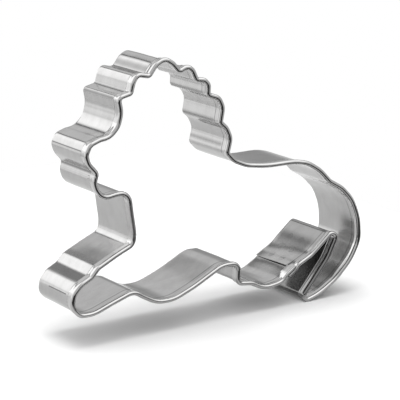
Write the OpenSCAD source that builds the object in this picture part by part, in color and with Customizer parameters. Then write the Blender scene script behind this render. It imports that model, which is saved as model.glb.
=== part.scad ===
// Lion cookie cutter bent from one strip of tinned steel sheet.
// The strip stands on edge: the rolled grip edge faces -Y, the plain cutting edge faces +Y.
// The outline lies in the X-Z plane with the paw and the heel on Z = 0.

/* [Outline] */
// Length of the lion over the rolled edge, paw to rump
cutter_l = 91; // [85:1:115]
// Depth of the cutter, grip edge to cutting edge
strip_w = 18; // [14:0.5:26]

/* [Sheet] */
// Thickness of the steel sheet
sheet_t = 0.3; // [0.25:0.01:0.33]

/* [Rolled edge] */
// Width of the rolled edge along the strip, to the flap's cut edge
hem_w = 3; // [2.5:0.1:4.5]
// Depth of the bead at its front
bead_w = 1.3; // [1:0.1:2]
// Flat that the bead's rounding leaves out at each side of its front
bead_ease = 0.2; // [0.1:0.02:0.3]
// Thickness of the two pressed roll ends where they pass each other
press_t = 0.9; // [0.8:0.01:0.95]
// Length over which the pressed roll ends lie side by side
press_l = 2.4; // [2:0.1:3]
// Length of the taper from the full roll to a pressed end
press_taper = 1.8; // [1.5:0.1:2.2]

/* [Lap joint] */
// Length of the double layer
lap_l = 11.4; // [10.8:0.1:14]
// Gap between the two sheet layers of the lap
lap_gap = 0.05; // [0.04:0.01:0.08]
// Length over which the outer layer steps back into line
lap_ramp = 2.2; // [1.8:0.1:3]
// Gap along the strip between the top layer's end and the step
end_gap = 0.3; // [0.2:0.05:0.5]
// Diameter of a spot weld
weld_d = 2.4; // [1.8:0.1:3]
// Height of a spot weld above the sheet on either side
weld_rise = 0.06; // [0.05:0.01:0.12]
// Spacing of the spot welds along the strip
weld_pitch_l = 3.6; // [3.2:0.1:3.8]
// Distance between the two rows of spot welds across the strip
weld_pitch_w = 5; // [3.5:0.5:6]

/* [Hidden] */

// Bends of the strip as drawn: [x, z, bend radius]. They run clockwise from the lap joint.
lap_run = [[29.4, 12.9, 9], [25.4, 10.5, 8]];
belly = [[19.8, 5.7, 6], [14.5, 4.4, 8], [10, 6.1, 5], [5.6, 6.2, 1.3], [5.1, 11.8, 2.2],
         [-0.2, 11.4, 7], [-8.5, 6.2, 40], [-14.6, 3.1, 11], [-19.8, 2.6, 9], [-24.2, 4.4, 10], [-27.3, 5.9, 4]];
paw = [[-34, 2.9, 40], [-38.8, 0.6, 10], [-42.6, 0.4, 2.5], [-45.2, 2.6, 3], [-45, 6, 3.5], [-43.3, 8.3, 6],
       [-40.2, 10.3, 3]];
foreleg = [[-38.6, 12.5, 3], [-33.5, 15.7, 40], [-28.7, 18.3, 2.4], [-28.8, 21.4, 8], [-30.2, 26.5, 30],
           [-31.5, 31.8, 3]];
muzzle = [[-35.2, 31.4, 12], [-38.8, 30.4, 3.2], [-41, 32.5, 4], [-41.9, 34.9, 3], [-41.3, 36.7, 1.2], [-43.9, 39, 4],
          [-45, 41.3, 2.5], [-44, 44, 2.5], [-41.2, 45.3, 5], [-38.6, 45.8, 5], [-36.4, 48.6, 4.5], [-35.8, 52, 6]];
mane = [[-37, 55.7, 1.2], [-33.5, 56.9, 0.9], [-33.1, 59.6, 4], [-32.1, 61.6, 1.6], [-28.6, 61.3, 1],
        [-26.8, 64.2, 4], [-24.4, 65.8, 2.6], [-21.7, 64.5, 4], [-19.6, 62.6, 1],
        [-17.3, 64, 2], [-15.5, 62.9, 2.5], [-14.1, 60.6, 0.9], [-11.6, 60.5, 2.4], [-10.2, 59.3, 1.5], [-10, 56.7, 0.9],
        [-6.6, 55.9, 2.6], [-5, 53.5, 3.2], [-5.3, 49.5, 1], [-3.2, 48, 4], [-1.6, 45.4, 3.2], [-2.2, 41.5, 1.1]];
back = [[0.3, 39.4, 5], [4.5, 38.1, 12], [11, 37.9, 40], [20.5, 38.9, 20], [25, 38.3, 10], [29.2, 36.3, 12]];
rump = [[33, 33.2, 4], [37.4, 31.3, 9], [41.5, 28, 12], [44.5, 22.6, 14], [45.5, 16.6, 7],
        [43.4, 11.1, 15], [38.8, 5.7, 15], [33.2, 1.6, 20]];
heel = [[26.5, -0.7, 1.2], [30.5, 5, 60], [35.2, 12, 12]];
fold = [[37.5, 18.1, 1.2], [35.3, 18.9, 1.3]];
shape = concat(belly, paw, foreleg, muzzle, mane, back, rump, heel, fold);

// End of the strip's top layer as drawn
top_end = [23.9, 9.2, 0];

// The roll is four sheets thick, so that it holds both layers of the lap
hem_t = 4 * sheet_t + lap_gap;
roll_r = hem_t / 2;
wall_layer = (sheet_t + lap_gap) / 2;
hem_front = -strip_w / 2;
hem_back = hem_front + hem_w;
cut_edge = strip_w / 2;
tip_in = lap_gap;
tip_out = tip_in + press_t;

// Least room that a bend leaves to the roll's inside
bend_room = 0.12;
// Stations nearer to each other than this are left out
nearest = 0.02;

function unit(v) = v / norm(v);
function left_of(v) = unit([-v[1], v[0]]);
function xz(c) = [c[0], c[1]];

// Points of the bend at q between its neighbours p and n, in steps of at most 15 degrees
function bend(p, q, n, r) =
    let (u = unit(p - q), w = unit(n - q), half = acos(u * w) / 2)
    let (c = q + unit(u + w) * r / sin(half), foot = r / tan(half))
    let (a = q + u * foot - c, b = q + w * foot - c)
    let (from = atan2(a[1], a[0]), swing = atan2(a[0] * b[1] - a[1] * b[0], a * b))
    let (steps = max(2, ceil(abs(swing) / 15)))
    [for (i = [0:steps]) c + r * [cos(from + swing * i / steps), sin(from + swing * i / steps)]];

// Centre line of the rolled edge through a list of bends, scaled by k
function line_of(c, k) =
    let (last = len(c) - 1)
    concat(
        [k * xz(c[0])],
        [for (i = [1:last - 1])
            each bend(k * xz(c[i - 1]), k * xz(c[i]), k * xz(c[i + 1]),
                max(k * c[i][2], roll_r + bend_room))],
        [k * xz(c[last])]
    );

// Stations along a line: [distance from the start, point, sideways step that keeps the wall parallel]
function stations(line) =
    let (last = len(line) - 1)
    [for (i = 0, s = 0; i <= last; s = s + (i < last ? norm(line[i + 1] - line[i]) : 0), i = i + 1)
        let (before = left_of(line[max(i, 1)] - line[max(i, 1) - 1]))
        let (after = left_of(line[min(i, last - 1) + 1] - line[min(i, last - 1)]))
        [s, line[i], 2 * (before + after) / pow(norm(before + after), 2)]];

function length_of(st) = st[len(st) - 1][0];

// Station at the distance s, between two of the list
function at(st, s) =
    let (i = max([for (k = [0:len(st) - 2]) if (st[k][0] <= s) k]))
    let (a = st[i], b = st[i + 1], f = (s - a[0]) / (b[0] - a[0]))
    [s, a[1] + f * (b[1] - a[1]), left_of(b[1] - a[1])];

// The same stations with one more at each distance where the table of offsets has a point
function marked(st, table) =
    [for (i = [0:len(st) - 1])
        each concat([st[i]], i == len(st) - 1 ? [] :
            [for (t = table) if (t[0] > st[i][0] + nearest && t[0] < st[i + 1][0] - nearest) at(st, t[0])])];

function span(st, from, to) =
    concat([at(st, from)], [for (k = st) if (k[0] > from + nearest && k[0] < to - nearest) k], [at(st, to)]);

// One side of a wall: the line moved outward by the offset that the table gives for the distance
function side(st, table) = [for (k = st) k[1] + k[2] * lookup(k[0], table)];

function shifted(table, by) = [for (t = table) [t[0], t[1] + by]];

function reversed(v) = [for (i = [len(v) - 1:-1:0]) v[i]];

function wall_outline(st, inner, outer) = concat(side(st, outer), reversed(side(st, inner)));

drawn_x = [for (p = line_of(concat([top_end], shape, lap_run, [belly[0]]), 1)) p[0]];
k_size = (cutter_l - hem_t) / (max(drawn_x) - min(drawn_x));

// Leg from the fold to the end of the top layer; the under layer starts lap_l before that end
leg_l = length_of(stations(line_of(concat([fold[1]], lap_run, [top_end]), k_size)));

// Offsets of the sheet's middle: outer layer, the step back into line, then the rest
wall_offsets = [[0, wall_layer], [leg_l + end_gap, wall_layer], [leg_l + end_gap + lap_ramp, -wall_layer]];

// Strip from its end under the fold, round the lion, to its end on top of the lap
wall_line = stations(line_of(concat([fold[1]], lap_run, shape, lap_run, [top_end]), k_size));
wall_l = length_of(wall_line);
wall_run = span(marked(wall_line, wall_offsets), leg_l - lap_l, wall_l);

// Roll from the end of the top layer, round the lion, back to that end and past its own start
hem_line = stations(line_of(concat([top_end], shape, lap_run, [belly[0]]), k_size));
round_l = length_of(hem_line) - k_size * norm(xz(belly[0]) - xz(top_end));
full_from = press_l + end_gap + press_taper;
full_to = round_l - press_taper;
double_from = round_l - lap_l - end_gap;

bead_in = [[0, -tip_out], [press_l + end_gap, -tip_out], [full_from, -roll_r],
           [full_to, -roll_r], [round_l, tip_in], [round_l + press_l, tip_in]];
bead_out = [[0, -tip_in], [press_l + end_gap, -tip_in], [full_from, roll_r],
            [full_to, roll_r], [round_l, tip_out], [round_l + press_l, tip_out]];
flap_in = [[0, -tip_out], [press_l + end_gap, -tip_out], [full_from, -wall_layer],
           [full_to, -wall_layer], [round_l, tip_in], [round_l + press_l, tip_in]];
flap_out = [[0, -tip_in], [press_l + end_gap, -tip_in], [full_from, 1.5 * sheet_t - wall_layer],
            [double_from - press_taper, 1.5 * sheet_t - wall_layer], [double_from, 1.5 * sheet_t + wall_layer],
            [full_to, 1.5 * sheet_t + wall_layer], [round_l, tip_out], [round_l + press_l, tip_out]];
hem_run = span(marked(hem_line, flap_out), 0, round_l + press_l);

// Place of the outline: middle of the length at X = 0, lowest edge at Z = 0
rim = side(hem_run, [[0, roll_r]]);
place = [
    -(min([for (p = rim) p[0]]) + max([for (p = rim) p[0]])) / 2,
    -min([for (p = rim) p[1]])
];

// Solid from y0 to y1 over an outline drawn in X and Z
module slab(points, y0, y1) {
    translate([place[0], y1, place[1]])
        rotate([90, 0, 0])
            linear_extrude(height = y1 - y0)
                polygon(points);
}

module strip_wall() {
    slab(wall_outline(wall_run, shifted(wall_offsets, -sheet_t / 2), shifted(wall_offsets, sheet_t / 2)),
        hem_front + sheet_t, cut_edge);
}

// Spot weld nuggets through both layers of the lap, in two rows across the strip
module nuggets() {
    reach = wall_layer + sheet_t / 2 + weld_rise;
    for (i = [-1:1])
        for (row = [-1, 1]) {
            spot = at(wall_line, wall_l - lap_l / 2 + i * weld_pitch_l);
            translate([place[0] + spot[1][0], (hem_w + row * weld_pitch_w) / 2, place[1] + spot[1][1]])
                rotate([0, 90 - atan2(spot[2][1], spot[2][0]), 0])
                    translate([0, 0, -reach])
                        cylinder(d = weld_d, h = 2 * reach, $fn = 32);
        }
}

// Sheet wall; its front runs into the roll as far as the roll's crest
module blade_band() {
    color([0.72, 0.72, 0.71])
        difference() {
            strip_wall();
            nuggets();
        }
}

// Front edge of the strip rolled over to the outside: a bead, and behind it a flap pressed to the wall
module rolled_hem() {
    bead_back = hem_front + bead_w;
    color([0.8, 0.8, 0.79])
        difference() {
            union() {
                slab(wall_outline(hem_run, shifted(bead_in, bead_ease), shifted(bead_out, -bead_ease)),
                    hem_front, hem_front + bead_ease);
                slab(wall_outline(hem_run, bead_in, bead_out), hem_front + bead_ease, bead_back);
                slab(wall_outline(hem_run, flap_in, flap_out), bead_back, hem_back);
            }
            strip_wall();
        }
}

module spot_welds() {
    color([0.6, 0.6, 0.59])
        nuggets();
}

blade_band();
rolled_hem();
spot_welds();
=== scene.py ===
import itertools
import math

import bpy
import numpy as np
from mathutils import Matrix, Vector, noise


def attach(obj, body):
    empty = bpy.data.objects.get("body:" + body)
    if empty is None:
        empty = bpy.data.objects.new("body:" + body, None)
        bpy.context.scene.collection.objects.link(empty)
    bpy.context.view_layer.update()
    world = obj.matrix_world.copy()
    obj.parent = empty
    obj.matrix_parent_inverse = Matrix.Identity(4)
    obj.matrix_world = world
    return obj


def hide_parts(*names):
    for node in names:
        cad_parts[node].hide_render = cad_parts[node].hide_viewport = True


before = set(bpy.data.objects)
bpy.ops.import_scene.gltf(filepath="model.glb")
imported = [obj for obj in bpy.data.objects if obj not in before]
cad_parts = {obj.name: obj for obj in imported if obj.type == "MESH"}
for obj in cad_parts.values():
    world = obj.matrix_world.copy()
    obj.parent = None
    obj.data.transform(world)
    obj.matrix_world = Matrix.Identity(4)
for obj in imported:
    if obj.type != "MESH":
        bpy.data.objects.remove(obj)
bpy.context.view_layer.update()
MM = 0.001

# Outline
# The bends of the strip as in the part's source: x, z, bend radius in millimetres.
LAP = [(29.4, 12.9, 9), (25.4, 10.5, 8)]
SHAPE = [
    (19.8, 5.7, 6), (14.5, 4.4, 8), (10, 6.1, 5), (5.6, 6.2, 1.3), (5.1, 11.8, 2.2), (-0.2, 11.4, 7),
    (-8.5, 6.2, 40), (-14.6, 3.1, 11), (-19.8, 2.6, 9), (-24.2, 4.4, 10), (-27.3, 5.9, 4), (-34, 2.9, 40),
    (-38.8, 0.6, 10), (-42.6, 0.4, 2.5), (-45.2, 2.6, 3), (-45, 6, 3.5), (-43.3, 8.3, 6), (-40.2, 10.3, 3),
    (-38.6, 12.5, 3), (-33.5, 15.7, 40), (-28.7, 18.3, 2.4), (-28.8, 21.4, 8), (-30.2, 26.5, 30),
    (-31.5, 31.8, 3), (-35.2, 31.4, 12), (-38.8, 30.4, 3.2), (-41, 32.5, 4), (-41.9, 34.9, 3),
    (-41.3, 36.7, 1.2), (-43.9, 39, 4), (-45, 41.3, 2.5), (-44, 44, 2.5), (-41.2, 45.3, 5),
    (-38.6, 45.8, 5), (-36.4, 48.6, 4.5), (-35.8, 52, 6), (-37, 55.7, 1.2), (-33.5, 56.9, 0.9),
    (-33.1, 59.6, 4), (-32.1, 61.6, 1.6), (-28.6, 61.3, 1), (-26.8, 64.2, 4), (-24.4, 65.8, 2.6),
    (-21.7, 64.5, 4), (-19.6, 62.6, 1), (-17.3, 64, 2), (-15.5, 62.9, 2.5), (-14.1, 60.6, 0.9),
    (-11.6, 60.5, 2.4), (-10.2, 59.3, 1.5), (-10, 56.7, 0.9), (-6.6, 55.9, 2.6), (-5, 53.5, 3.2),
    (-5.3, 49.5, 1), (-3.2, 48, 4), (-1.6, 45.4, 3.2), (-2.2, 41.5, 1.1), (0.3, 39.4, 5), (4.5, 38.1, 12),
    (11, 37.9, 40), (20.5, 38.9, 20), (25, 38.3, 10), (29.2, 36.3, 12), (33, 33.2, 4), (37.4, 31.3, 9),
    (41.5, 28, 12), (44.5, 22.6, 14), (45.5, 16.6, 7), (43.4, 11.1, 15), (38.8, 5.7, 15), (33.2, 1.6, 20),
    (26.5, -0.7, 1.2), (30.5, 5, 60), (35.2, 12, 12), (37.5, 18.1, 1.2), (35.3, 18.9, 1.3),
]
TOP_END = (23.9, 9.2, 0)
# The sheet, the gap between its layers, the lap, the ramp beside it and the gap at each end, in millimetres.
SHEET, GAP, LAP_L, LAP_RAMP, END_GAP = 0.3, 0.05, 11.4, 2.2, 0.3
ROLL = (4 * SHEET + GAP) / 2
LAYER = (SHEET + GAP) / 2
# The roll's ends are pressed to this thickness, over this length, after a taper.
PRESS_T, PRESS_L, PRESS_TAPER = 0.9, 2.4, 1.8
FRONT, BACK, ROLL_BACK = -9.0, 9.0, -6.0
LENGTH = 91.0
BEND_ROOM, NEAREST = 0.12, 0.02
# Added to the strip coordinate on the sheet's outer face, so that each face has its own stains and painted
# shade.
OUTER = 1000


def rounded(corners, k, step=5.0, longest=0.7):
    """Fine centre line through the bends, with the length along it."""
    c = [(np.array(p[:2]) * k, max(p[2] * k, ROLL + BEND_ROOM)) for p in corners]
    out = [c[0][0]]
    for i in range(1, len(c) - 1):
        p, q, n, r = c[i - 1][0], c[i][0], c[i + 1][0], c[i][1]
        u, w = (p - q) / np.linalg.norm(p - q), (n - q) / np.linalg.norm(n - q)
        half = math.acos(float(np.clip(u @ w, -1, 1))) / 2
        mid = q + (u + w) / np.linalg.norm(u + w) * r / math.sin(half)
        foot = r / math.tan(half)
        a, b = q + u * foot - mid, q + w * foot - mid
        start = math.atan2(a[1], a[0])
        swing = math.atan2(a[0] * b[1] - a[1] * b[0], a @ b)
        steps = max(3, math.ceil(abs(math.degrees(swing)) / step))
        for t in range(steps + 1):
            at = start + swing * t / steps
            out.append(mid + r * np.array([math.cos(at), math.sin(at)]))
    out.append(c[-1][0])
    fine = [out[0]]
    for a, b in zip(out[:-1], out[1:]):
        n = max(1, math.ceil(np.linalg.norm(b - a) / longest))
        fine += [a + (b - a) * t / n for t in range(1, n + 1)]
    pts = np.array(fine)
    return pts, np.concatenate([[0], np.cumsum(np.linalg.norm(np.diff(pts, axis=0), axis=1))])


def cut(line, a, b):
    """The stretch of a line between two distances: points, distances, outward normals."""
    pts, s = line
    keep = [a] + [d for d in s if a + NEAREST < d < b - NEAREST] + [b]
    p = np.stack([np.interp(keep, s, pts[:, 0]), np.interp(keep, s, pts[:, 1])], axis=1)
    t = np.gradient(p, axis=0)
    t /= np.linalg.norm(t, axis=1)[:, None]
    return p, np.array(keep), np.stack([-t[:, 1], t[:, 0]], axis=1)


drawn = rounded([TOP_END] + SHAPE + LAP + [SHAPE[0]], 1.0)[0]
SIZE = (LENGTH - 2 * ROLL) / (drawn[:, 0].max() - drawn[:, 0].min())
leg_l = rounded([SHAPE[-1]] + LAP + [TOP_END], SIZE)[1][-1]
wall_line = rounded([SHAPE[-1]] + LAP + SHAPE + LAP + [TOP_END], SIZE)
wall_l = wall_line[1][-1]
wall_p, wall_s, wall_n = cut(wall_line, leg_l - LAP_L, wall_l)
roll_line = rounded([TOP_END] + SHAPE + LAP + [SHAPE[0]], SIZE)
round_l = roll_line[1][-1] - SIZE * math.dist(SHAPE[0][:2], TOP_END[:2])
roll_l = round_l + PRESS_L
roll_p, roll_s, roll_n = cut(roll_line, 0, roll_l)
rim = roll_p + roll_n * ROLL
PLACE = np.array([-(rim[:, 0].min() + rim[:, 0].max()) / 2, -rim[:, 1].min()])


def ease(x, a, b):
    t = min(max((x - a) / (b - a), 0.0), 1.0)
    return t * t * (3 - 2 * t)


def swell(x, y, seed, size):
    """Smooth noise from -1 to 1, in millimetres."""
    return noise.noise(Vector((x / size, y / size, seed)))


def piece(name, verts, faces, uvs, material, node):
    """A named visual piece in place of a node of the part; uvs are its points' strip coordinates."""
    mesh = bpy.data.meshes.new(name)
    mesh.from_pydata(verts, [], faces)
    layer = mesh.uv_layers.new(name="strip")
    for loop in mesh.loops:
        layer.data[loop.index].uv = uvs[loop.vertex_index]
    mesh.validate()
    mesh.shade_smooth()
    mesh.materials.append(material)
    obj = bpy.data.objects.new(name, mesh)
    bpy.context.scene.collection.objects.link(obj)
    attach(obj, "root")
    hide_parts(node)
    return mesh


def sweep(name, pts, dist, nrm, section, material, node, outer_from=math.inf):
    """Mesh with a closed section of (offset, y) points at each station of a line.

    From the section's point outer_from on, the strip coordinate along the line has OUTER added.
    """
    verts, uvs, faces = [], [], []
    loops = [section(i) for i in range(len(pts))]
    m = len(loops[0])
    for i, loop in enumerate(loops):
        for j, (o, y) in enumerate(loop):
            p = pts[i] + nrm[i] * o + PLACE
            verts.append((p[0] * MM, y * MM, p[1] * MM))
            uvs.append((dist[i] + (OUTER if j >= outer_from else 0), y))
    for i in range(len(pts) - 1):
        for j in range(m):
            k = (j + 1) % m
            faces.append((i * m + j, i * m + k, (i + 1) * m + k, (i + 1) * m + j))
    faces.append(tuple(range(m - 1, -1, -1)))
    faces.append(tuple((len(pts) - 1) * m + j for j in range(m)))
    mesh = piece(name, verts, faces, uvs, material, node)
    mesh.set_sharp_from_angle(angle=math.radians(38))


# Materials
def nodes_of(name):
    mat = bpy.data.materials.new(name)
    mat.use_nodes = True
    nt = mat.node_tree
    nt.nodes.clear()
    out = nt.nodes.new("ShaderNodeOutputMaterial")
    return mat, nt, out


def link(nt, a, b):
    nt.links.new(a, b)


def ramp(nt, fac, stops):
    r = nt.nodes.new("ShaderNodeValToRGB")
    while len(r.color_ramp.elements) < len(stops):
        r.color_ramp.elements.new(0.5)
    for e, (pos, col) in zip(r.color_ramp.elements, stops):
        e.position = pos
        e.color = (*col, 1) if len(col) == 3 else col
    link(nt, fac, r.inputs["Fac"])
    return r.outputs["Color"]


def grey(v, warm=0.0):
    return (v * (1 + warm), v, v * (1 - warm))


def stretched(nt, scale, detail, sx, sy, rough=0.6):
    """Noise in the strip's own length and width, in millimetres."""
    uv = nt.nodes.new("ShaderNodeUVMap")
    uv.uv_map = "strip"
    mp = nt.nodes.new("ShaderNodeMapping")
    mp.inputs["Scale"].default_value = (sx, sy, 1)
    link(nt, uv.outputs["UV"], mp.inputs["Vector"])
    tx = nt.nodes.new("ShaderNodeTexNoise")
    tx.inputs["Scale"].default_value = scale
    tx.inputs["Detail"].default_value = detail
    tx.inputs["Roughness"].default_value = rough
    link(nt, mp.outputs["Vector"], tx.inputs["Vector"])
    return tx.outputs["Fac"]


def maths(nt, operation, a, b):
    m = nt.nodes.new("ShaderNodeMath")
    m.operation = operation
    for i, v in enumerate((a, b)):
        if isinstance(v, (int, float)):
            m.inputs[i].default_value = v
        else:
            link(nt, v, m.inputs[i])
    return m.outputs[0]


def spread(nt, value, a, b, low=0.0, smooth=False):
    """The value mapped from a..b to low..1, clamped."""
    m = nt.nodes.new("ShaderNodeMapRange")
    if smooth:
        m.interpolation_type = "SMOOTHSTEP"
    m.inputs["From Min"].default_value = a
    m.inputs["From Max"].default_value = b
    m.inputs["To Min"].default_value = low
    link(nt, value, m.inputs["Value"])
    return m.outputs["Result"]


def blend(nt, fac, a, b):
    """Colour a where fac is 0 and b where it is 1; a number stands for a grey."""
    m = nt.nodes.new("ShaderNodeMix")
    m.data_type = "RGBA"
    link(nt, fac, m.inputs[0])
    for slot, v in ((6, a), (7, b)):
        if isinstance(v, float):
            m.inputs[slot].default_value = (*grey(v), 1)
        else:
            link(nt, v, m.inputs[slot])
    return m.outputs[2]


def part_of(nt, axis, a, b, soft):
    """1 where a strip coordinate (X along the strip, Y across it, in mm) lies between a and b."""
    uv = nt.nodes.new("ShaderNodeUVMap")
    uv.uv_map = "strip"
    sep = nt.nodes.new("ShaderNodeSeparateXYZ")
    link(nt, uv.outputs["UV"], sep.inputs[0])
    across = sep.outputs[axis]
    return maths(nt, "MULTIPLY", spread(nt, across, a - soft, a + soft, smooth=True),
                 spread(nt, across, b + soft, b - soft, smooth=True))


# The dark colour that the patches blend towards: painted shade, and stains.
STAIN_AND_SHADE = 0.02
MOTTLE_ROUGH, MOTTLE_HEIGHT = 0.16, 0.12
BUMP_HEIGHT = 0.0004


def tinned(name, dark, light, r0, r1, cloud=0.35, bump=0.05, stains_and_shade=()):
    """Tinned sheet, darkened in patches by painted shade and by stains. Each patch is (box in strip
    coordinates, softness, depth, mottle); a number in place of mottle makes the patch duller without spots."""
    mat, nt, out = nodes_of(name)
    b = nt.nodes.new("ShaderNodeBsdfPrincipled")
    b.inputs["Metallic"].default_value = 1.0
    link(nt, b.outputs["BSDF"], out.inputs["Surface"])
    cloudy = stretched(nt, cloud, 5, 0.6, 1.0)
    grain = stretched(nt, 1.6, 6, 2.0, 0.22, 0.7)
    col = ramp(nt, cloudy, [(0.3, grey(dark, 0.006)), (0.7, grey(light, 0.004))])
    height = grain
    rough = maths(nt, "MULTIPLY_ADD", grain, r1 - r0)
    rough.node.inputs[2].default_value = r0
    for (u0, u1, v0, v1), soft, depth, mottle in stains_and_shade:
        mask = maths(nt, "MULTIPLY", part_of(nt, "X", u0, u1, soft), part_of(nt, "Y", v0, v1, soft))
        if isinstance(mottle, float):
            rough = maths(nt, "ADD", rough, maths(nt, "MULTIPLY", mask, mottle))
        elif mottle:
            spots = stretched(nt, 3.4, 2, 1.0, 0.7, 0.6)
            spots = ramp(nt, spots, [(0.34, grey(0.74)), (0.66, grey(1.0))])
            mask = maths(nt, "MULTIPLY", mask, spots)
            rough = maths(nt, "ADD", rough, maths(nt, "MULTIPLY", mask, MOTTLE_ROUGH))
            height = maths(nt, "ADD", height, maths(nt, "MULTIPLY", mask, MOTTLE_HEIGHT))
        col = blend(nt, maths(nt, "MULTIPLY", mask, depth), col, STAIN_AND_SHADE)
    link(nt, col, b.inputs["Base Color"])
    link(nt, rough, b.inputs["Roughness"])
    bm = nt.nodes.new("ShaderNodeBump")
    bm.inputs["Strength"].default_value = bump
    bm.inputs["Distance"].default_value = BUMP_HEIGHT
    link(nt, height, bm.inputs["Height"])
    link(nt, bm.outputs["Normal"], b.inputs["Normal"])
    return mat


def s_near(line, x, z):
    """Distance along a line at the station nearest to a drawn point."""
    return float(line[1][np.argmin(np.linalg.norm(line[0] - np.array((x, z)) * SIZE, axis=1))])


# Bands across the strip, in y: the whole strip, the inside of a valley and the wall behind the roll.
WIDE, VALLEY, BEHIND = (-9.5, 9.5), (-5.5, 9.5), (-5.9, 9.5)


def outer(xz0, xz1, y0, y1):
    """Box in strip coordinates on the sheet's outer face, between two drawn points."""
    return (OUTER + s_near(wall_line, *xz0), OUTER + s_near(wall_line, *xz1), y0, y1)


def valley(x, z, before, after, soft, depth):
    """Painted shade across the inside of one of the mane's valleys, mottled in colour, roughness and bumps.
    """
    at = s_near(wall_line, x, z)
    return ((at - before, at + after, *VALLEY), soft, depth, True)


def crease(x, z, half, depth, y0=BEHIND[0], y1=BEHIND[1]):
    """Painted shade: a dark line across the outer face at a bend."""
    at = OUTER + s_near(wall_line, x, z)
    return ((at - half, at + half, y0, y1), half * 0.8, depth, False)


# Painted dark reflection bands over the lap; the narrower one is also mottled in roughness and bumps.
lap_shade_and_mottle = [
    ((wall_l - 10.6, wall_l - 5.6, -5.6, 8.6), 1.6, 0.72, True),
    ((wall_l - 15.5, wall_l - 8.0, *WIDE), 2.0, 0.52, False),
]
# Darker patches on the sheet, most of them painted shade.
sheet_shade_and_stains = [
    # Painted shade in the notch, over the heel's leg.
    (outer((28, 0.7), (37, 17.2), *WIDE), 0.8, 0.66, False),
    *lap_shade_and_mottle,
    # Painted shadow line behind the flap's cut edge, all round.
    ((-5, OUTER + 400, ROLL_BACK - 0.03, ROLL_BACK + 0.21), 0.05, 0.62, False),
    # Darker mottled patches on the paw's outer face.
    (outer((-43.2, 8.3), (-40.4, 10.2), -7, 9.5), 0.5, 0.62, True),
    (outer((-38.1, 12.8), (-36.9, 13.6), -7, 9.5), 0.9, 0.5, True),
    # Darker patch on the outer face near the mane's top.
    (outer((-28.2, 62), (-27.2, 63.6), -7, 9.5), 0.8, 0.5, False),
    valley(-5.3, 49.5, 0.5, 0.3, 0.5, 0.5),
    valley(-10, 56.7, 0.4, 0.3, 0.4, 0.45),
    valley(-2.4, 43.2, 0.4, 0.4, 0.5, 0.45),
    # Darker patch on the rump's inner face, towards the front.
    ((s_near(wall_line, 44.7, 22.5), s_near(wall_line, 45.3, 18), -5.4, -1.5), 2.2, 0.45, False),
]
chin = OUTER + s_near(wall_line, -41.9, 34.9)
# Two thin dark lines across the chin, behind the roll.
for tick in (chin, chin + 0.75):
    sheet_shade_and_stains.append(((tick - 0.07, tick + 0.07, ROLL_BACK, -4.7), 0.05, 0.5, False))
sheet_shade_and_stains += [
    crease(-45.1, 5.15, 0.13, 0.75, -4.6, 4.0),
    crease(-44.9, 42.0, 0.13, 0.7),
    crease(-33.5, 56.9, 0.3, 0.55),
    crease(-28.6, 61.3, 0.3, 0.55),
    crease(-41.3, 36.7, 0.35, 0.5),
    crease(-37.0, 55.4, 0.4, 0.55),
]
roll_dullness_and_shade = [
    # Duller stretch of the roll at the chest, with no change of colour.
    ((s_near(roll_line, -28.8, 19.6), s_near(roll_line, -30.8, 29.3), *WIDE), 1.2, 0.0, 0.32),
    # Painted shade over the roll's pressed end, which is also a little duller.
    ((roll_l - PRESS_L - 0.6, roll_l + 1, *WIDE), 0.4, 0.45, 0.1),
    # Painted shade on the roll in the notch, over the heel's leg.
    ((s_near(roll_line, 28, 0.7) + 0.4, s_near(roll_line, 37, 17.2), *WIDE), 0.8, 0.6, False),
]
sheet_mat = tinned("tinned_sheet", 0.38, 0.44, 0.12, 0.20, bump=0.012, stains_and_shade=sheet_shade_and_stains)
roll_mat = tinned("tinned_roll", 0.43, 0.49, 0.09, 0.15, cloud=0.5, bump=0.01, stains_and_shade=roll_dullness_and_shade)
weld_mat = tinned("weld_marks", 0.35, 0.41, 0.15, 0.23, cloud=1.4, bump=0.03, stains_and_shade=lap_shade_and_mottle)


# Sheet wall
def wall_mid(s, y):
    """Offset of the sheet's middle from the rim's centre line."""
    step = leg_l + END_GAP
    w = LAYER - 2 * LAYER * ease(s, step, step + LAP_RAMP + 3)
    away = ease(s, step + 3, step + 9) * (1 - ease(s, wall_l - LAP_L - 8, wall_l - LAP_L - 2))
    w += 0.10 * away * ease(y, -5.5, 3) * swell(s, y, 3.1, 9.0)
    sag = ease(s, wall_l - 9, wall_l - 3) if s > wall_l / 2 else 1 - ease(s, leg_l + 5, leg_l + 12)
    w += 0.5 * sag * ease(y, -6, 8)
    w -= 0.34 * max((s - wall_l + 1.6) / 1.6, 0) * ease(y, -6.6, -5.6) * (1 - 0.6 * ease(y, -2, 9))
    return w


ROWS = [-8.6, -7.2, -6.4, -5.8, -5.2, -4.4, -3.4, -2.2, -1, 0.2, 1.4, 2.6, 3.8, 5, 6.2, 7.4, 8.4, 8.86]


def wall_section(i):
    s = wall_s[i]
    h = SHEET / 2
    inner = [(wall_mid(s, y) - h, y) for y in ROWS]
    outer = [(wall_mid(s, y) + h, y) for y in reversed(ROWS)]
    e = wall_mid(s, BACK)
    return inner + [(e - h + 0.06, 8.97), (e, BACK), (e + h - 0.06, 8.97)] + outer


OUTER_FROM = len(ROWS) + 2
sweep("sheet_wall", wall_p, wall_s, wall_n, wall_section, sheet_mat, "blade_band", OUTER_FROM)


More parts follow.
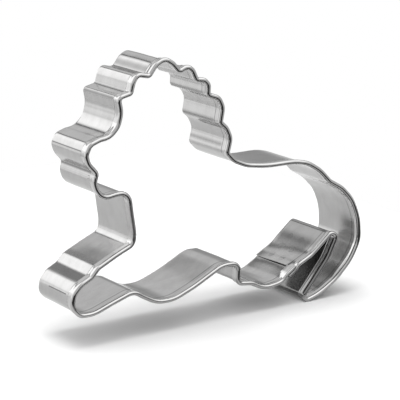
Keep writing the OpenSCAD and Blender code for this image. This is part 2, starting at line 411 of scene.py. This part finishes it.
# Rolled edge
def roll_section(i):
    """Bead at the front, its flap running back on the outside to a cut edge; ends pressed flat."""
    s = roll_s[i]
    start, end = PRESS_L + END_GAP, round_l - PRESS_TAPER
    press = max(1 - ease(s, start, start + PRESS_TAPER), ease(s, end, round_l))
    r = ROLL * (1 - press) + PRESS_T / 2 * press
    centre = (PRESS_T / 2 + GAP) * press * (-1 if s < roll_l / 2 else 1)
    k = r / ROLL
    double = ease(s, round_l - LAP_L - END_GAP - PRESS_TAPER, round_l - LAP_L - END_GAP)
    lip = (1.5 * SHEET - LAYER + 2 * LAYER * double) * (1 - press) + (r - 0.03) * press
    back = ROLL_BACK
    out_side = [(lip - 0.26, back), (lip - 0.05, back), (lip, back - 0.07), (lip, back - 0.6)]
    for o, y in [(0.36, -7.0), (0.44, -7.4), (0.53, -7.75), (0.59, -8.05)]:
        out_side.append((min(max(o * k, lip), r), y))
    turns = [math.pi * t / 14 for t in range(15)]
    bead = [(r * math.cos(t), FRONT + r - r * math.sin(t)) for t in turns]
    inner = [
        (-0.585, -8.05), (-0.5, -7.8), (-0.43, -7.6), (-0.37, -7.4), (-0.335, -7.2), (-0.322, -7.0),
        (-0.3, -6.9),
    ]
    in_side = [(o * (1 - press) - (r - 0.02) * press, y) for o, y in inner]
    in_side.append((-0.17 * (1 - press) - (r - 0.05) * press, -6.9 + 0.85 * press))
    return [(o + centre, y) for o, y in out_side + bead + in_side]


sweep("rolled_rim", roll_p, roll_s, roll_n, roll_section, roll_mat, "rolled_hem")


# Spot welds
WELD_PITCH, WELD_ROW, WELD_Y = 3.6, 2.5, 1.5
# A weld mark's rings: radius and lift over the sheet.
WELD_RINGS = [(0.0, 0.012), (0.5, 0.012), (0.9, 0.012), (1.08, 0.008), (1.2, -0.01)]
WELD_SIDES = 28


def weld_point(d, y, side, lift):
    """A point over the lap's inner (side -1) or outer (side 1) sheet, at a distance along the strip."""
    p = [np.interp(d, wall_s, wall_p[:, c]) + PLACE[c] for c in (0, 1)]
    n = [np.interp(d, wall_s, wall_n[:, c]) for c in (0, 1)]
    off = (wall_mid(d, y) if side < 0 else LAYER) + side * (SHEET / 2 + lift)
    return ((p[0] + n[0] * off) * MM, y * MM, (p[1] + n[1] * off) * MM)


def weld_marks():
    verts, faces, uvs = [], [], []
    for i, row, side in itertools.product((-1, 0, 1), (-1, 1), (-1, 1)):
        s = wall_l - LAP_L / 2 + i * WELD_PITCH
        cy = WELD_Y + row * WELD_ROW
        base = len(verts)
        for r, lift in WELD_RINGS:
            for a in range(WELD_SIDES):
                th = 2 * math.pi * a / WELD_SIDES
                d, y = s + r * math.cos(th), cy + r * math.sin(th)
                verts.append(weld_point(d, y, side, lift))
                uvs.append((d, y))
        for q in range(len(WELD_RINGS) - 1):
            for a in range(WELD_SIDES):
                b = (a + 1) % WELD_SIDES
                low, high = base + q * WELD_SIDES, base + (q + 1) * WELD_SIDES
                f = (low + a, low + b, high + b, high + a)
                faces.append(f if side > 0 else f[::-1])
    piece("weld_marks", verts, faces, uvs, weld_mat, "spot_welds")


weld_marks()

# Camera
# Its axes and place were found by matching the strip's front and back edges to the photograph.
LENS, SENSOR = 165.78, 36.0
CAM_RIGHT = Vector((0.820901, -0.563030, 0.095488))
CAM_UP = Vector((0.027516, 0.206012, 0.978163))
CAM_X, CAM_Y, CAM_Z = -280.629, -379.968, 117.004
cam_data = bpy.data.cameras.new("camera")
cam_data.sensor_width = SENSOR
cam_data.lens = LENS
cam_data.clip_start = 0.01
cam = bpy.data.objects.new("camera", cam_data)
bpy.context.scene.collection.objects.link(cam)
cam_at = Vector((CAM_X * SIZE + PLACE[0], FRONT + CAM_Y * SIZE, CAM_Z * SIZE + PLACE[1])) * MM
cam_axes = Matrix((CAM_RIGHT, CAM_UP, CAM_RIGHT.cross(CAM_UP))).transposed()
cam.matrix_world = Matrix.Translation(cam_at) @ cam_axes.to_4x4()
bpy.context.scene.camera = cam


# Shaders of the floor and the world
def flat(nt, kind, value, strength=None):
    """A shader of one grey."""
    shader = nt.nodes.new(kind)
    shader.inputs["Color"].default_value = (*grey(value), 1)
    if strength is not None:
        shader.inputs["Strength"].default_value = strength
    return shader.outputs[0]


def mixed(nt, fac, a, b):
    """Shader a where fac is 0 and b where it is 1."""
    m = nt.nodes.new("ShaderNodeMixShader")
    for socket, source in zip(m.inputs, (fac, a, b)):
        link(nt, source, socket)
    return m.outputs[0]


def coordinate(nt, kind):
    """A texture coordinate, whole and apart in X, Y and Z."""
    whole = nt.nodes.new("ShaderNodeTexCoord").outputs[kind]
    sep = nt.nodes.new("ShaderNodeSeparateXYZ")
    link(nt, whole, sep.inputs[0])
    return whole, sep.outputs


# Floor
# The photograph's cutter stands on its heel with the paw raised, so the floor is tilted, not the part.
TILT = math.radians(6.635)
UP = Vector((-math.sin(TILT), 0, math.cos(TILT)))
LEFT, RIGHT, NEAR, FAR = -0.35, 0.11, -0.13, 0.17
# The floor darkens in reflections between these places in front of the cutter.
DIM_FROM, DIM_TO, DIM_LEAST = -0.016, -0.042, 0.18
low = min(Vector((p[0], 0, p[1])).dot(UP) for p in rim + PLACE) * MM
floor_mesh = bpy.data.meshes.new("floor")
corners = [(LEFT, NEAR, 0), (RIGHT, NEAR, 0), (RIGHT, FAR, 0), (LEFT, FAR, 0)]
floor_mesh.from_pydata(corners, [], [(0, 1, 2, 3)])
floor = bpy.data.objects.new("floor", floor_mesh)
bpy.context.scene.collection.objects.link(floor)
floor.matrix_world = Matrix.Translation(UP * low) @ Matrix.Rotation(-TILT, 4, "Y")

floor_mat, nt, out = nodes_of("floor_white")
path = nt.nodes.new("ShaderNodeLightPath")
seen = maths(nt, "MAXIMUM", path.outputs["Is Camera Ray"], path.outputs["Is Glossy Ray"])
white = mixed(nt, maths(nt, "MULTIPLY", seen, 0.04), flat(nt, "ShaderNodeBsdfDiffuse", 0.88),
              flat(nt, "ShaderNodeEmission", 1.0))
dim = spread(nt, coordinate(nt, "Object")[1]["Y"], DIM_FROM, DIM_TO, DIM_LEAST)
dim = maths(nt, "MULTIPLY", dim, path.outputs["Is Glossy Ray"])
link(nt, mixed(nt, dim, white, flat(nt, "ShaderNodeEmission", 0.05)), out.inputs["Surface"])
floor_mesh.materials.append(floor_mat)

# World
# The ring of soft boxes round the Y axis: direction in degrees, from +X over +Z, and brightness.
RING = [
    (-180, 0.80), (-171, 0.58), (-160, 0.72), (-151, 0.44), (-136, 0.45), (-101, 0.34), (-69, 0.36),
    (-30, 0.48), (-4, 0.40), (12, 0.22), (30, 0.20), (44, 0.39), (54, 0.43), (78, 0.46), (86, 0.42),
    (89, 0.18), (92, 0.03), (96, 0.07), (100, 0.46), (105, 0.78), (114, 1.0), (125, 1.0), (162, 0.90),
    (171, 0.58), (177, 0.74), (180, 0.80),
]
SHINE, AMBIENT, BACKDROP = 2.15, 0.05, 1.0
world = bpy.data.worlds.new("studio")
bpy.context.scene.world = world
world.use_nodes = True
nt = world.node_tree
nt.nodes.clear()
out = nt.nodes.new("ShaderNodeOutputWorld")
path = nt.nodes.new("ShaderNodeLightPath")
way, axes = coordinate(nt, "Generated")


def toward(direction, wide, narrow):
    """1 within the narrow angle of a direction, 0 outside the wide one."""
    d = nt.nodes.new("ShaderNodeVectorMath")
    d.operation = "DOT_PRODUCT"
    link(nt, way, d.inputs[0])
    d.inputs[1].default_value = Vector(direction).normalized()
    return spread(nt, d.outputs["Value"], math.cos(math.radians(wide)), math.cos(math.radians(narrow)))


turn = spread(nt, maths(nt, "ARCTAN2", axes["Z"], axes["X"]), -math.pi, math.pi)
ring = ramp(nt, turn, [((deg + 180.0) / 360.0, grey(v)) for deg, v in RING])
low_front = maths(nt, "MULTIPLY", spread(nt, axes["Y"], -0.38, -0.66), spread(nt, axes["Z"], 0.20, 0.02))
front = blend(nt, low_front, 0.42, 0.015)
front = blend(nt, toward((0.75, -0.65, -0.15), 42, 18), front, 0.34)
front = blend(nt, toward((0.3, -0.3, 0.9), 46, 30), front, 0.95)
studio = blend(nt, spread(nt, axes["Y"], 0.35, 0.1), ring, front)
shine = nt.nodes.new("ShaderNodeBackground")
shine.inputs["Strength"].default_value = SHINE
link(nt, studio, shine.inputs["Color"])
ambient = flat(nt, "ShaderNodeBackground", 1.0, AMBIENT)
lit = mixed(nt, path.outputs["Is Glossy Ray"], ambient, shine.outputs[0])
backdrop = flat(nt, "ShaderNodeBackground", 1.0, BACKDROP)
link(nt, mixed(nt, path.outputs["Is Camera Ray"], lit, backdrop), out.inputs["Surface"])

# Suns
# Two soft lights over the floor, leaning to the left; reflections don't show them.
for name, energy, angle, left in (("key", 1.5, 40, 0.1), ("wide", 3.0, 140, 0.5)):
    sun_data = bpy.data.lights.new(name, "SUN")
    sun_data.energy = energy
    sun_data.angle = math.radians(angle)
    sun = bpy.data.objects.new(name, sun_data)
    bpy.context.scene.collection.objects.link(sun)
    sun.location = UP * 0.5
    sun.rotation_euler = (UP - Vector((left, 0, 0))).to_track_quat("Z", "Y").to_euler()
    sun.visible_glossy = False

bpy.context.scene.view_settings.view_transform = "Standard"
